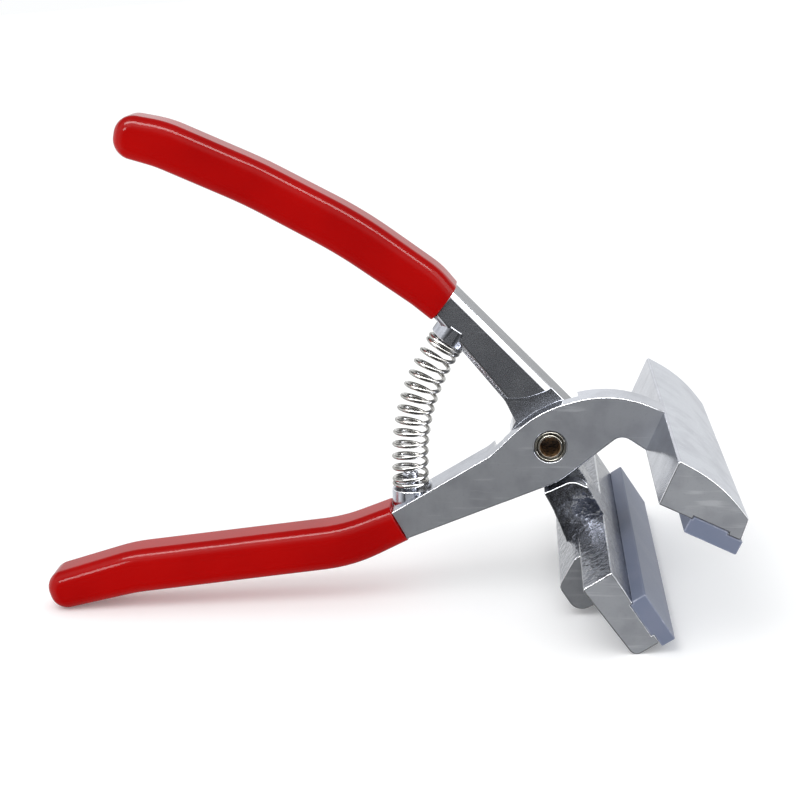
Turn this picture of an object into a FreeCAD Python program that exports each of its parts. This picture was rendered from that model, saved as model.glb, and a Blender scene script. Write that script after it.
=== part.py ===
import FreeCAD, Part
import math
import os

import Sketcher
from FreeCAD import Rotation, Vector

# Wide-jaw stretching pliers. Millimetres, +Z up, the origin at the middle of the pivot.
# The pivot runs along Y, the jaws reach out along +X and the handles along -X.
# The front lever is the lower handle with the upper jaw, and the rear lever is the upper
# handle with the lower jaw. They lap at the pivot, each with half of the thickness, and are
# drawn fully open, which is how the return spring holds them.

SIZES = [
    ("jaw_width", 120.0, "both jaws, across the cloth"),
    ("closing_angle", 32.0, "degrees from fully open to pads together"),
    ("face_slope", 24.9, "degrees, upper gripping face below level when open"),
    ("parting_offset", 6.8, "plane where the pads meet, from the pivot"),
    ("parting_gap", 0.3, "left between the pads at the closing stop"),
    ("pad_thickness", 4.7, "pad proud of the jaw"),
    ("pad_rounding", 0.5, "long edges of a gripping face"),
    ("pad_tongue", 0.9, "depth of the tongue on the back of a pad"),
    ("upper_pad_heel", 37.8, "start of the upper pad, from the pivot"),
    ("upper_pad_toe", 54.4, "end of the upper pad"),
    ("upper_tongue_heel", 38.4, "start of the upper tongue"),
    ("upper_tongue_toe", 49.4, "end of the upper tongue"),
    ("lower_pad_heel", 38.8, "start of the lower pad"),
    ("lower_pad_toe", 55.4, "end of the lower pad"),
    ("lower_tongue_heel", 39.4, "start of the lower tongue"),
    ("lower_tongue_toe", 50.9, "end of the lower tongue"),
    ("plate_thickness", 19.0, "both levers together at the pivot"),
    ("arm_thickness", 11.0, "jaw arm of the front lever"),
    ("lap_plane", 3.5, "where the levers lap, in front of the middle"),
    ("handle_thickness", 15.0, "levers at the handles"),
    ("handle_shift", 2.0, "middle of a handle, to its own side of the lap"),
    ("handle_bevel", 1.8, "long edges of a handle, on its inner side"),
    ("lap_gap", 0.2, "between the two lap faces"),
    ("front_lap_radius", 17.6, "round recess in the back of the front lever"),
    ("rear_boss_radius", 13.0, "boss of the rear lever behind the front lever"),
    ("dip_thickness", 1.3, "grips proud of the handles"),
    ("tang_step", 0.9, "tang inside a grip, below the bare handle"),
    ("grip_rounding", 5.0, "long edges of the grips"),
    ("heel_lug_width", 60.0, "hammer lug behind the lower jaw"),
    ("rivet_bore_radius", 3.2, "hole through the hollow rivet"),
    ("rivet_shank_radius", 3.9, "outside of the rivet"),
    ("rivet_lip_radius", 4.3, "rolled lips of the rivet"),
    ("rivet_lip_depth", 0.6, "height of a rolled lip"),
    ("running_clearance", 0.05, "rear lever on the rivet, on the radius"),
    ("washer_radius", 4.95, "outside of the two washers"),
    ("washer_thickness", 1.4, "the two washers, flush with the levers"),
    ("washer_seat_radius", 5.15, "counterbore that takes a washer"),
    ("seat_collar_radius", 6.1, "cast collar under each spring end"),
    ("seat_peg_radius", 2.6, "cast peg inside each spring end"),
    ("seat_peg_dome", 1.9, "rounding of a peg's end"),
    ("seat_flat_radius", 6.7, "flat cut round each collar for the last coil"),
    ("seat_flat_height", 8.0, "room cut above a collar's face"),
    ("lower_seat_x", -45.2, "lower spring seat"),
    ("lower_seat_z", -16.6, "face of the lower collar"),
    ("lower_peg_height", 6.2, "lower peg above its collar"),
    ("upper_peg_height", 4.2, "upper peg below its collar"),
    ("collar_depth", 5.4, "a collar, into the lever"),
    ("spring_straight", 10.0, "straight start of the spring's axis"),
    ("spring_bend_radius", 68.0, "bow of the spring's axis"),
    ("spring_bend", 35.5, "degrees, turn of the spring's axis"),
    ("spring_radius", 5.37, "coil, to the middle of the wire"),
    ("spring_wire_radius", 0.68, "wire"),
    ("spring_turns", 15.0, "all turns of the spring"),
    ("spring_closed_turns", 1.5, "close turns at each end"),
    ("spring_close_pitch", 1.43, "pitch of the close turns"),
    ("spring_end_gap", 0.12, "between a spring end and its collar"),
    ("overrun", 1.0, "cutters past the faces they cut"),
]

# Handle stations run from the mouth of the grip to the middle of the rounded tip:
# name, x, z, degrees of fall towards the tip, height of the grip, bend radius.
FRONT_STATIONS = [
    ("front_mouth", -48.7, -26.9, 28.9, 12.8, 0),
    ("front_bend", -66.0, -34.8, 16.0, 14.8, 55),
    ("front_palm", -138.0, -44.55, 9.0, 14.9, 60),
    ("front_tip", -160.6, -50.8, 16.5, 12.9, 6.0),
]
REAR_STATIONS = [
    ("rear_mouth", -33.5, 45.1, -38.2, 13.2, 0),
    ("rear_bend", -39.0, 50.55, -41.5, 14.7, 30),
    ("rear_swell", -62.8, 67.55, -32.7, 15.1, 150),
    ("rear_palm", -92.65, 83.65, -25.0, 14.6, 150),
    ("rear_heel", -121.1, 96.25, -17.0, 14.8, 40),
    ("rear_tip", -129.15, 98.4, -12.0, 13.3, 6.3),
]

# Corners of the castings: name, across, up, rounding. They run anticlockwise.
FRONT_PLATE = [
    ("handle_low", -15.0, -18.8, 0),
    ("boss_low", 3.0, -11.5, 20),
    ("throat", 22.4, 4.1, 4),
    ("jaw_low", 31.4, -1.8, 0),
    ("jaw_high", 36.8, 10.6, 0),
    ("shoulder", 35.6, 11.7, 0),
    ("hump", 19.5, 18.4, 35),
    ("boss_high", -3.9, 11.7, 38),
    ("handle_high", -15.0, 1.2, 0),
]
FRONT_ROOT = [("front_root_low", -8.0, -15.95, 0), ("front_root_high", -8.0, 7.6, 0)]
FRONT_WAIST = [("front_waist", -19.5, -3.3, 12)]
REAR_ROOT = [("rear_root_low", -8.0, 0.0, 0), ("rear_root_high", 9.3, 8.9, 0)]
REAR_WAIST = [("rear_throat", -14.4, 13.6, 14)]

# The next sections lie in their jaw's own frame: across runs along the gripping face away
# from the pivot, and up is square to it.
UPPER_JAW = [
    ("heel_low", 27.7, 11.5, 0),
    ("toe_low", 53.7, 11.5, 0.8),
    ("toe_high", 52.8, 18.4, 1.0),
    ("crown", 40.6, 24.8, 45),
    ("heel_high", 27.2, 25.7, 0.8),
]
LOWER_JAW = [
    ("heel_outer", 27.9, -8.0, 0.8),
    ("toe_outer", 54.0, -6.5, 2.6),
    ("toe_inner", 54.0, 2.1, 0.8),
    ("heel_inner", 27.9, 2.1, 0),
]
REAR_NECK = [
    ("boss_outer", 0.0, -9.0, 0),
    ("waist_outer", 18.0, -10.6, 30),
    ("lug_outer", 30.0, -13.0, 0),
    ("jaw_inner", 31.0, 2.1, 0),
    ("waist_inner", 16.0, 2.9, 30),
    ("boss_inner", 0.0, 2.9, 0),
]
HEEL_LUG = [
    ("root_heel", 29.0, -5.0, 0),
    ("back_heel", 29.0, -10.4, 3),
    ("crest_heel", 34.0, -19.3, 3),
    ("crest_toe", 44.6, -19.3, 4.5),
    ("root_toe", 46.0, -5.0, 0),
]
# What the front lever needs cut from the front half of the rear lever.
REAR_RECESS = [
    ("west_low", -26.0, -25.0, 0),
    ("neck_outer", 0.5, -14.4, 0),
    ("neck_arch", 7.0, -11.2, 5),
    ("neck_inner", 13.0, -13.8, 0),
    ("east_low", 26.0, -13.8, 0),
    ("east_high", 26.0, 20.0, 0),
    ("arm_outer", 3.0, 18.6, 0),
    ("arm_step", -8.0, 14.9, 14),
    ("west_high", -26.0, 14.9, 0),
]

document = FreeCAD.newDocument("StretchingPliers")
sheet = document.addObject("Spreadsheet::Sheet", "Sizes")
sheet_row = 0


def add_size(alias, value, note):
    """Puts one driving dimension in the sheet under its alias."""
    global sheet_row
    sheet_row += 1
    sheet.set(f"A{sheet_row}", alias)
    sheet.set(f"B{sheet_row}", str(value))
    sheet.setAlias(f"B{sheet_row}", alias)
    sheet.set(f"C{sheet_row}", note)


def add_corners(group, corners):
    """Puts an outline's corners in the sheet and returns them as expressions."""
    bound = []
    for name, across, up, rounding in corners:
        stem = f"{group}_{name}"
        add_size(f"{stem}_across", across, f"{group}, {name}")
        add_size(f"{stem}_up", up, f"{group}, {name}")
        add_size(f"{stem}_round", rounding, f"{group}, {name}")
        bound.append((f"Sizes.{stem}_across", f"Sizes.{stem}_up", f"Sizes.{stem}_round"))
    return bound


def add_stations(stations):
    """Puts a handle's stations in the sheet and returns their stems."""
    for name, across, up, fall, height, bend in stations:
        add_size(f"{name}_across", across, "station of a handle")
        add_size(f"{name}_up", up, "station of a handle")
        add_size(f"{name}_fall", fall, "degrees")
        add_size(f"{name}_height", height, "height of the grip")
        add_size(f"{name}_bend", bend, "rounding of the outline")
    return [f"Sizes.{name}" for name, *_ in stations]


def rim(stem, side, inset="Sizes.dip_thickness"):
    """Gives a point on the rim of a handle's station, side 1 above and -1 below."""
    reach = f"{side} * ({stem}_height / 2 - {inset})"
    across = f"{stem}_across - {reach} * sin({stem}_fall)"
    up = f"{stem}_up + {reach} * cos({stem}_fall)"
    return across, up


def handle_side(stems, side, inset):
    """Gives the corners of one side of a handle, side 1 above and -1 below."""
    corners = [(*rim(stem, side, inset), f"{stem}_bend") for stem in stems[:-1]]
    tip = stems[-1]
    across, up = rim(tip, side, inset)
    reach = f"({tip}_height / 2 - {inset})"
    across += f" - {reach} * cos({tip}_fall)"
    up += f" - {reach} * sin({tip}_fall)"
    corners.append((across, up, f"{tip}_bend - {inset}"))
    return corners


def value_of(expression):
    """Works out an expression on the sheet as a plain number."""
    result = sheet.evalExpression(expression)
    return float(getattr(result, "Value", result))


def origin_plane(body, role):
    """Finds one of a body's own origin planes."""
    return [plane for plane in body.Origin.OriginFeatures if plane.Role == role][0]


def new_body(label):
    """Starts a sub-part."""
    body = document.addObject("PartDesign::Body", label)
    body.Label = label
    return body


def new_sketch(body, name, role="XZ_Plane", shift=None, tilt=None):
    """Starts a sketch, moved along the plane's normal and turned in the plane."""
    sketch = body.newObject("Sketcher::SketchObject", name)
    sketch.AttachmentSupport = [(origin_plane(body, role), "")]
    sketch.MapMode = "FlatFace"
    if tilt is not None:
        sketch.AttachmentOffset = FreeCAD.Placement(Vector(), Rotation(Vector(0, 0, 1), -1))
        sketch.setExpression("AttachmentOffset.Rotation.Angle", f"-({tilt})")
    if shift is not None:
        sketch.setExpression("AttachmentOffset.Base.z", shift)
    return sketch


def pin(sketch, geometry, point, across, up):
    """Ties a point of a sketch to two expressions, measured from the origin."""
    for kind, expression in (("DistanceX", across), ("DistanceY", up)):
        place = (-1, 1, geometry, point)
        number = sketch.addConstraint(Sketcher.Constraint(kind, *place, value_of(expression)))
        sketch.setExpression(f"Constraints[{number}]", expression)


def draw_outline(sketch, corners):
    """Draws a closed outline of lines, with tangent arcs at the corners with a rounding."""
    spots = [Vector(value_of(across), value_of(up), 0) for across, up, _ in corners]
    radii = [value_of(rounding) for _, _, rounding in corners]
    count = len(corners)
    enters, leaves, arcs = [], [], []
    for index, (spot, radius) in enumerate(zip(spots, radii)):
        back = (spots[index - 1] - spot).normalize()
        ahead = (spots[(index + 1) % count] - spot).normalize()
        half = back.getAngle(ahead) / 2
        reach = radius / math.tan(half)
        enters.append(spot + back * reach)
        leaves.append(spot + ahead * reach)
        arcs.append(None)
        if radius > 0:
            middle = spot + (back + ahead).normalize() * (radius / math.sin(half))
            nearest = middle + (spot - middle).normalize() * radius
            arc = Part.Arc(enters[index], nearest, leaves[index])
            anticlockwise = back.cross(ahead).z < 0
            arcs[index] = (sketch.addGeometry(arc, False), anticlockwise)
    lines = []
    for index in range(count):
        line = Part.LineSegment(leaves[index], enters[(index + 1) % count])
        lines.append(sketch.addGeometry(line, False))
    for index, (across, up, rounding) in enumerate(corners):
        before, after = lines[index - 1], lines[index]
        if arcs[index] is None:
            sketch.addConstraint(Sketcher.Constraint("Coincident", before, 2, after, 1))
            pin(sketch, after, 1, across, up)
            continue
        arc, anticlockwise = arcs[index]
        start, end = (1, 2) if anticlockwise else (2, 1)
        corner = sketch.addGeometry(Part.Point(spots[index]), True)
        pin(sketch, corner, 1, across, up)
        sketch.addConstraint(Sketcher.Constraint("PointOnObject", corner, 1, before))
        sketch.addConstraint(Sketcher.Constraint("PointOnObject", corner, 1, after))
        sketch.addConstraint(Sketcher.Constraint("Tangent", before, 2, arc, start))
        sketch.addConstraint(Sketcher.Constraint("Tangent", arc, end, after, 1))
        number = sketch.addConstraint(Sketcher.Constraint("Radius", arc, radii[index]))
        sketch.setExpression(f"Constraints[{number}]", rounding)


def draw_circle(sketch, radius):
    """Draws a circle about the sketch's origin."""
    circle = Part.Circle(Vector(), Vector(0, 0, 1), value_of(radius))
    round_edge = sketch.addGeometry(circle, False)
    sketch.addConstraint(Sketcher.Constraint("Coincident", round_edge, 3, -1, 1))
    number = sketch.addConstraint(Sketcher.Constraint("Radius", round_edge, value_of(radius)))
    sketch.setExpression(f"Constraints[{number}]", radius)


def extrude(body, kind, name, sketch, length):
    """Pads or pockets a sketch by half of the length each way."""
    feature = body.newObject(f"PartDesign::{kind}", name)
    feature.Profile = sketch
    feature.Midplane = True
    feature.setExpression("Length", length)
    body.Tip = feature
    return feature


def prism(body, kind, name, corners, length, shift=None, tilt=None):
    """Adds or cuts a prism along Y with the given outline."""
    sketch = new_sketch(body, f"{name}_outline", shift=shift, tilt=tilt)
    draw_outline(sketch, corners)
    return extrude(body, kind, name, sketch, length)


def disc(body, kind, name, radius, length, shift=None):
    """Adds or cuts a round about the pivot's axis."""
    sketch = new_sketch(body, f"{name}_outline", shift=shift)
    draw_circle(sketch, radius)
    return extrude(body, kind, name, sketch, length)


def spring_seat(body, name, place, angle, peg):
    """Casts a collar, clears a flat above its face, and stands a domed peg on it."""
    turn = Rotation(Vector(0, 1, 0), 90 - value_of(angle))
    for step, kind, radius, start, end in (
        ("collar", "Additive", "Sizes.seat_collar_radius", "-Sizes.collar_depth", "0"),
        ("flat", "Subtractive", "Sizes.seat_flat_radius", "0", "Sizes.seat_flat_height"),
        ("peg", "Additive", "Sizes.seat_peg_radius", "-Sizes.collar_depth / 2", peg),
    ):
        cylinder = body.newObject(f"PartDesign::{kind}Cylinder", f"{name}_{step}")
        cylinder.setExpression("Radius", radius)
        cylinder.setExpression("Height", f"{end} - ({start})")
        cylinder.Placement = FreeCAD.Placement(Vector(), turn)
        cylinder.setExpression("Placement.Base.x", f"{place[0]} + ({start}) * cos({angle})")
        cylinder.setExpression("Placement.Base.z", f"{place[1]} + ({start}) * sin({angle})")
        body.Tip = cylinder
    across = value_of(f"{place[0]} + ({peg}) * cos({angle})")
    up = value_of(f"{place[1]} + ({peg}) * sin({angle})")
    peg_end = Vector(across, 0, up)

    def rounds_the_end(edge):
        """Tells whether an edge is the rim of the peg's end."""
        return edge.CenterOfMass.distanceToPoint(peg_end) < FINE

    dress_edges(body, "Fillet", f"{name}_dome", "Sizes.seat_peg_dome", rounds_the_end)


def dress_edges(body, kind, name, size, chosen):
    """Fillets or chamfers the edges of the body's last feature that a test picks."""
    document.recompute()
    base = body.Tip
    edges = [f"Edge{number}" for number, edge in enumerate(base.Shape.Edges, 1) if chosen(edge)]
    feature = body.newObject(f"PartDesign::{kind}", name)
    feature.Base = (base, edges)
    feature.setExpression("Radius" if kind == "Fillet" else "Size", size)
    body.Tip = feature


def bevel_handle(body, name, mouth, depth):
    """Bevels the two long edges of a bare handle in the plane y = depth."""
    across_mouth = value_of(f"{mouth}_height")

    def runs_along(edge):
        """Tells whether an edge runs along the handle in that plane."""
        on_plane = abs(edge.CenterOfMass.y - value_of(depth)) < FINE
        return on_plane and edge.Length > across_mouth

    dress_edges(body, "Chamfer", name, "Sizes.handle_bevel", runs_along)


for size in SIZES:
    add_size(*size)
front_stems = add_stations(FRONT_STATIONS)
rear_stems = add_stations(REAR_STATIONS)
front_plate = add_corners("front_plate", FRONT_PLATE)
front_root = add_corners("handle", FRONT_ROOT)
front_waist = add_corners("handle", FRONT_WAIST)
rear_root = add_corners("handle", REAR_ROOT)
rear_waist = add_corners("handle", REAR_WAIST)
upper_jaw = add_corners("upper_jaw", UPPER_JAW)
lower_jaw = add_corners("lower_jaw", LOWER_JAW)
rear_neck = add_corners("rear_neck", REAR_NECK)
heel_lug = add_corners("heel_lug", HEEL_LUG)
rear_recess = add_corners("rear_recess", REAR_RECESS)
document.recompute()

UPPER_TILT = "Sizes.face_slope"
LOWER_TILT = "Sizes.face_slope + Sizes.closing_angle"
HALF_PLATE = "Sizes.plate_thickness / 2"
TANG_INSET = "(Sizes.dip_thickness + Sizes.tang_step)"
TANG_WIDTH = "Sizes.handle_thickness - 2 * Sizes.tang_step"
THROUGH_PLATE = "Sizes.plate_thickness + 2 * Sizes.overrun"
THROUGH_JAW = "Sizes.jaw_width + 2 * Sizes.overrun"
LAP_CUT_BEHIND = f"Sizes.lap_plane + Sizes.lap_gap / 2 - ({THROUGH_PLATE}) / 2"
LAP_CUT_IN_FRONT = f"Sizes.lap_plane - Sizes.lap_gap / 2 + ({THROUGH_PLATE}) / 2"
ARM_SHIFT = "(Sizes.plate_thickness - Sizes.arm_thickness) / 2"
FRONT_SHIFT = "Sizes.handle_shift"
REAR_SHIFT = "-Sizes.handle_shift"
INNER_SIDE = "Sizes.handle_thickness / 2 - Sizes.handle_shift"
FINE = 1e-3
POINTS_A_TURN = 12


def tang_outline(stems, inset):
    """Gives the outline of a grip, or of the tang inside it, from the mouth to the tip."""
    above = handle_side(stems, 1, inset)
    below = handle_side(stems, -1, inset)
    return below + above[::-1]


def handle_outline(mouth, root, waist_above=(), waist_below=()):
    """Gives the outline of a bare handle, from its root at the pivot to the grip's mouth."""
    above = (*rim(mouth, 1), "0")
    below = (*rim(mouth, -1), "0")
    return [root[0], root[1], *waist_above, above, below, *waist_below]


def pad_section(heel, toe, tongue_heel, tongue_toe, side):
    """Gives a pad's section, side 1 above the parting plane and -1 below it."""
    face = f"Sizes.parting_offset + {side} * Sizes.parting_gap / 2"
    back = f"Sizes.parting_offset + {side} * Sizes.pad_thickness"
    tongue = f"{back} + {side} * Sizes.pad_tongue"
    corners = [
        (heel, face, "Sizes.pad_rounding"),
        (toe, face, "Sizes.pad_rounding"),
        (toe, back, "0"),
        (tongue_toe, back, "0"),
        (tongue_toe, tongue, "0"),
        (tongue_heel, tongue, "0"),
        (tongue_heel, back, "0"),
        (heel, back, "0"),
    ]
    return corners if side > 0 else corners[::-1]


def groove_section(tongue_heel, tongue_toe, side):
    """Gives the groove in a jaw that takes a pad's tongue."""
    floor = f"Sizes.parting_offset + {side} * (Sizes.pad_thickness + Sizes.pad_tongue)"
    mouth = f"Sizes.parting_offset + {side} * (Sizes.pad_thickness - Sizes.overrun)"
    corners = [
        (tongue_heel, mouth, "0"),
        (tongue_toe, mouth, "0"),
        (tongue_toe, floor, "0"),
        (tongue_heel, floor, "0"),
    ]
    return corners if side > 0 else corners[::-1]


UPPER_TONGUE = ("Sizes.upper_tongue_heel", "Sizes.upper_tongue_toe")
LOWER_TONGUE = ("Sizes.lower_tongue_heel", "Sizes.lower_tongue_toe")
UPPER_SEAT = (
    "Sizes.lower_seat_x + Sizes.spring_bend_radius * (1 - cos(Sizes.spring_bend))",
    "Sizes.lower_seat_z + Sizes.spring_straight"
    " + Sizes.spring_bend_radius * sin(Sizes.spring_bend)",
)


def make_front_lever():
    """Casts the lower handle with the upper jaw."""
    body = new_body("front_lever")
    prism(body, "Pad", "upper_jaw", upper_jaw, "Sizes.jaw_width", tilt=UPPER_TILT)
    prism(body, "Pad", "front_plate", front_plate, "Sizes.arm_thickness", ARM_SHIFT)
    outline = handle_outline(front_stems[0], front_root, waist_above=front_waist)
    prism(body, "Pad", "front_handle", outline, "Sizes.handle_thickness", FRONT_SHIFT)
    bevel_handle(body, "front_bevel", front_stems[0], INNER_SIDE)
    outline = tang_outline(front_stems, TANG_INSET)
    prism(body, "Pad", "front_tang", outline, TANG_WIDTH, FRONT_SHIFT)
    groove = groove_section(*UPPER_TONGUE, 1)
    prism(body, "Pocket", "upper_groove", groove, THROUGH_JAW, tilt=UPPER_TILT)
    place = ("Sizes.lower_seat_x", "Sizes.lower_seat_z")
    spring_seat(body, "lower_seat", place, "90", "Sizes.lower_peg_height")
    disc(body, "Pocket", "front_lap", "Sizes.front_lap_radius", THROUGH_PLATE, LAP_CUT_BEHIND)
    disc(body, "Pocket", "front_bore", "Sizes.rivet_shank_radius", THROUGH_PLATE)
    seat_depth = "2 * Sizes.washer_thickness"
    disc(body, "Pocket", "front_washer_seat", "Sizes.washer_seat_radius", seat_depth, HALF_PLATE)
    return body


def make_rear_lever():
    """Casts the upper handle with the lower jaw and its hammer lug."""
    body = new_body("rear_lever")
    prism(body, "Pad", "lower_jaw", lower_jaw, "Sizes.jaw_width", tilt=LOWER_TILT)
    prism(body, "Pad", "heel_lug", heel_lug, "Sizes.heel_lug_width", tilt=LOWER_TILT)
    prism(body, "Pad", "rear_neck", rear_neck, "Sizes.plate_thickness", tilt=LOWER_TILT)
    disc(body, "Pad", "rear_boss", "Sizes.rear_boss_radius", "Sizes.plate_thickness")
    outline = handle_outline(rear_stems[0], rear_root, waist_below=rear_waist)
    prism(body, "Pad", "rear_handle", outline, "Sizes.handle_thickness", REAR_SHIFT)
    bevel_handle(body, "rear_bevel", rear_stems[0], f"-({INNER_SIDE})")
    outline = tang_outline(rear_stems, TANG_INSET)
    prism(body, "Pad", "rear_tang", outline, TANG_WIDTH, REAR_SHIFT)
    groove = groove_section(*LOWER_TONGUE, -1)
    prism(body, "Pocket", "lower_groove", groove, THROUGH_JAW, tilt=LOWER_TILT)
    angle = "270 - Sizes.spring_bend"
    spring_seat(body, "upper_seat", UPPER_SEAT, angle, "Sizes.upper_peg_height")
    prism(body, "Pocket", "rear_lap", rear_recess, THROUGH_PLATE, LAP_CUT_IN_FRONT)
    bore = "Sizes.rivet_shank_radius + Sizes.running_clearance"
    disc(body, "Pocket", "rear_bore", bore, THROUGH_PLATE)
    seat_depth = "2 * Sizes.washer_thickness"
    far_face = f"-{HALF_PLATE}"
    disc(body, "Pocket", "rear_washer_seat", "Sizes.washer_seat_radius", seat_depth, far_face)
    return body


def make_pad(label, reach, tongue, side, tilt):
    """Makes one resilient pad with the tongue that holds it in its jaw."""
    body = new_body(label)
    section = pad_section(*reach, *tongue, side)
    prism(body, "Pad", f"{label}_block", section, "Sizes.jaw_width", tilt=tilt)
    return body


def make_grip(label, stems, shift):
    """Makes one dipped grip: a rounded skin over the tang of a handle."""
    body = new_body(label)
    width = "Sizes.handle_thickness + 2 * Sizes.dip_thickness"
    prism(body, "Pad", f"{label}_skin", tang_outline(stems, "0"), width, shift)
    mouth = Vector(value_of(f"{stems[0]}_across"), -value_of(shift), value_of(f"{stems[0]}_up"))
    side = value_of(width) / 2

    def runs_along(edge):
        """Tells whether an edge runs along the grip instead of across its mouth."""
        beside = abs(abs(edge.CenterOfMass.y - mouth.y) - side) < FINE
        at_mouth = edge.CenterOfMass.distanceToPoint(mouth) < side + value_of("Sizes.overrun")
        return beside and not at_mouth

    dress_edges(body, "Fillet", f"{label}_rounding", "Sizes.grip_rounding", runs_along)
    prism(body, "Pocket", f"{label}_hollow", tang_outline(stems, TANG_INSET), TANG_WIDTH, shift)
    return body


def make_rivet():
    """Makes the hollow rivet, rolled over a washer at each end."""
    body = new_body("pivot_rivet")
    disc(body, "Pad", "shank", "Sizes.rivet_shank_radius", "Sizes.plate_thickness")
    lip_depth = "Sizes.rivet_lip_depth"
    for name, sign in (("front_lip", 1), ("rear_lip", -1)):
        shift = f"{sign} * ({HALF_PLATE} - {lip_depth} / 2)"
        disc(body, "Pad", name, "Sizes.rivet_lip_radius", lip_depth, shift)
    disc(body, "Pocket", "rivet_bore", "Sizes.rivet_bore_radius", THROUGH_PLATE)
    return body


def make_washer(label, side):
    """Makes one washer, countersunk for the rivet's rolled lip."""
    body = new_body(label)
    middle = f"{side} * ({HALF_PLATE} - Sizes.washer_thickness / 2)"
    disc(body, "Pad", f"{label}_ring", "Sizes.washer_radius", "Sizes.washer_thickness", middle)
    hole = "Sizes.rivet_shank_radius"
    disc(body, "Pocket", f"{label}_hole", hole, "Sizes.plate_thickness", middle)
    lip = f"{side} * ({HALF_PLATE})"
    sink_depth = "2 * Sizes.rivet_lip_depth"
    disc(body, "Pocket", f"{label}_sink", "Sizes.rivet_lip_radius", sink_depth, lip)
    return body


def spring_frame(travel):
    """Gives the spring axis's place and direction at a distance from the lower seat."""
    straight = value_of("Sizes.spring_straight")
    bend = value_of("Sizes.spring_bend_radius")
    foot = Vector(value_of("Sizes.lower_seat_x"), 0, value_of("Sizes.lower_seat_z"))
    if travel < straight:
        return foot + Vector(0, 0, travel), Vector(0, 0, 1)
    turn = (travel - straight) / bend
    rise = Vector(bend * (1 - math.cos(turn)), 0, straight + bend * math.sin(turn))
    return foot + rise, Vector(math.sin(turn), 0, math.cos(turn))


def coil_travel(turn_number):
    """Gives how far along the axis the wire is after some turns, close at both ends."""
    turns = value_of("Sizes.spring_turns")
    closed = value_of("Sizes.spring_closed_turns")
    wire = value_of("Sizes.spring_wire_radius")
    close_pitch = value_of("Sizes.spring_close_pitch")
    axis = value_of("Sizes.spring_straight")
    axis += value_of("Sizes.spring_bend_radius") * math.radians(value_of("Sizes.spring_bend"))
    ends = wire + value_of("Sizes.spring_end_gap")
    open_run = axis - 2 * ends - 2 * closed * close_pitch
    open_pitch = open_run / (turns - 2 * closed)
    close_low = min(turn_number, closed)
    close_high = max(turn_number - (turns - closed), 0)
    opened = turn_number - close_low - close_high
    return ends + (close_low + close_high) * close_pitch + opened * open_pitch


def make_spring():
    """Winds the return spring from seat to seat along its bowed axis."""
    turns = value_of("Sizes.spring_turns")
    radius = value_of("Sizes.spring_radius")
    points = []
    for step in range(int(turns * POINTS_A_TURN) + 1):
        turn_number = step / POINTS_A_TURN
        middle, along = spring_frame(coil_travel(turn_number))
        outward = Vector(0, 1, 0).cross(along)
        angle = 2 * math.pi * turn_number
        across = outward * (radius * math.cos(angle))
        points.append(middle + across + Vector(0, radius * math.sin(angle), 0))
    curve = Part.BSplineCurve()
    curve.interpolate(points)
    path = Part.Wire([curve.toShape()])
    start = curve.tangent(curve.FirstParameter)[0]
    ring = Part.Circle(points[0], start, value_of("Sizes.spring_wire_radius"))
    section = Part.Wire([ring.toShape()])
    feature = document.addObject("Part::Feature", "return_spring")
    feature.Shape = path.makePipeShell([section], True, True)
    return feature


UPPER_REACH = ("Sizes.upper_pad_heel", "Sizes.upper_pad_toe")
LOWER_REACH = ("Sizes.lower_pad_heel", "Sizes.lower_pad_toe")
parts = [
    make_front_lever(),
    make_rear_lever(),
    make_pad("upper_pad", UPPER_REACH, UPPER_TONGUE, 1, UPPER_TILT),
    make_pad("lower_pad", LOWER_REACH, LOWER_TONGUE, -1, LOWER_TILT),
    make_grip("lower_grip", front_stems, FRONT_SHIFT),
    make_grip("upper_grip", rear_stems, REAR_SHIFT),
    make_rivet(),
    make_washer("front_washer", 1),
    make_washer("rear_washer", -1),
    make_spring(),
]
document.recompute()
for item in document.Objects:
    if "Invalid" in item.State or "Error" in item.State:
        raise RuntimeError(f"{item.Label} could not be built: {item.State}")
for part in parts:
    if part.Shape.isNull() or not part.Shape.isValid():
        raise RuntimeError(f"{part.Label} isn't a sound shape")
os.makedirs("parts", exist_ok=True)
for part in parts:
    part.Shape.exportStep(f"parts/{part.Label}.step")
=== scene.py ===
import logging
import math
from dataclasses import dataclass
from enum import Enum
from typing import Any, Iterable

import bmesh
import bpy
from mathutils import Matrix, Vector


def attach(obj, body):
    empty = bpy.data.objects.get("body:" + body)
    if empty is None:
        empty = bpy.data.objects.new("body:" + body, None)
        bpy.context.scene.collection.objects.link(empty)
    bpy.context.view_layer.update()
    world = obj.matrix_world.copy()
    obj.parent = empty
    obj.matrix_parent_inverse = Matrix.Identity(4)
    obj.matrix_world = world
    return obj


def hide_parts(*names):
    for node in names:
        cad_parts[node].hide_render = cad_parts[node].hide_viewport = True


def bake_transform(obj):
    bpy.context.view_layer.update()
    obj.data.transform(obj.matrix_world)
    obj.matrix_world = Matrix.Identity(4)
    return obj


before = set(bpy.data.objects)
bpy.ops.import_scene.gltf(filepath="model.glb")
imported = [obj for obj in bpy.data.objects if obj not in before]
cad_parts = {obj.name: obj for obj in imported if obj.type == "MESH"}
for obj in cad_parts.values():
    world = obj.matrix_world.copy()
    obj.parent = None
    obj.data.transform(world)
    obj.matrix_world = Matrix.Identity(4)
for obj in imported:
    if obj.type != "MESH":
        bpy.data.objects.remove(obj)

# Wide-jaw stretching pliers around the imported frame. Metres, +Z up, the pivot at the origin
# along Y, the jaws towards +X and the handles towards -X.

MM = 0.001
# The alpha of the skin colour is a painted light level: it paints the metal darker or brighter in place of
# the reflections it would show.
SKIN = "skin"  # corner colour: ground face, rough cast, rounded edge, and the shade as alpha
WELD = 0.002 * MM  # points closer than this are one
TURNED_CREASE = math.radians(35)
Colour = tuple[float, float, float]

log = logging.getLogger("stretching_pliers")


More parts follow.
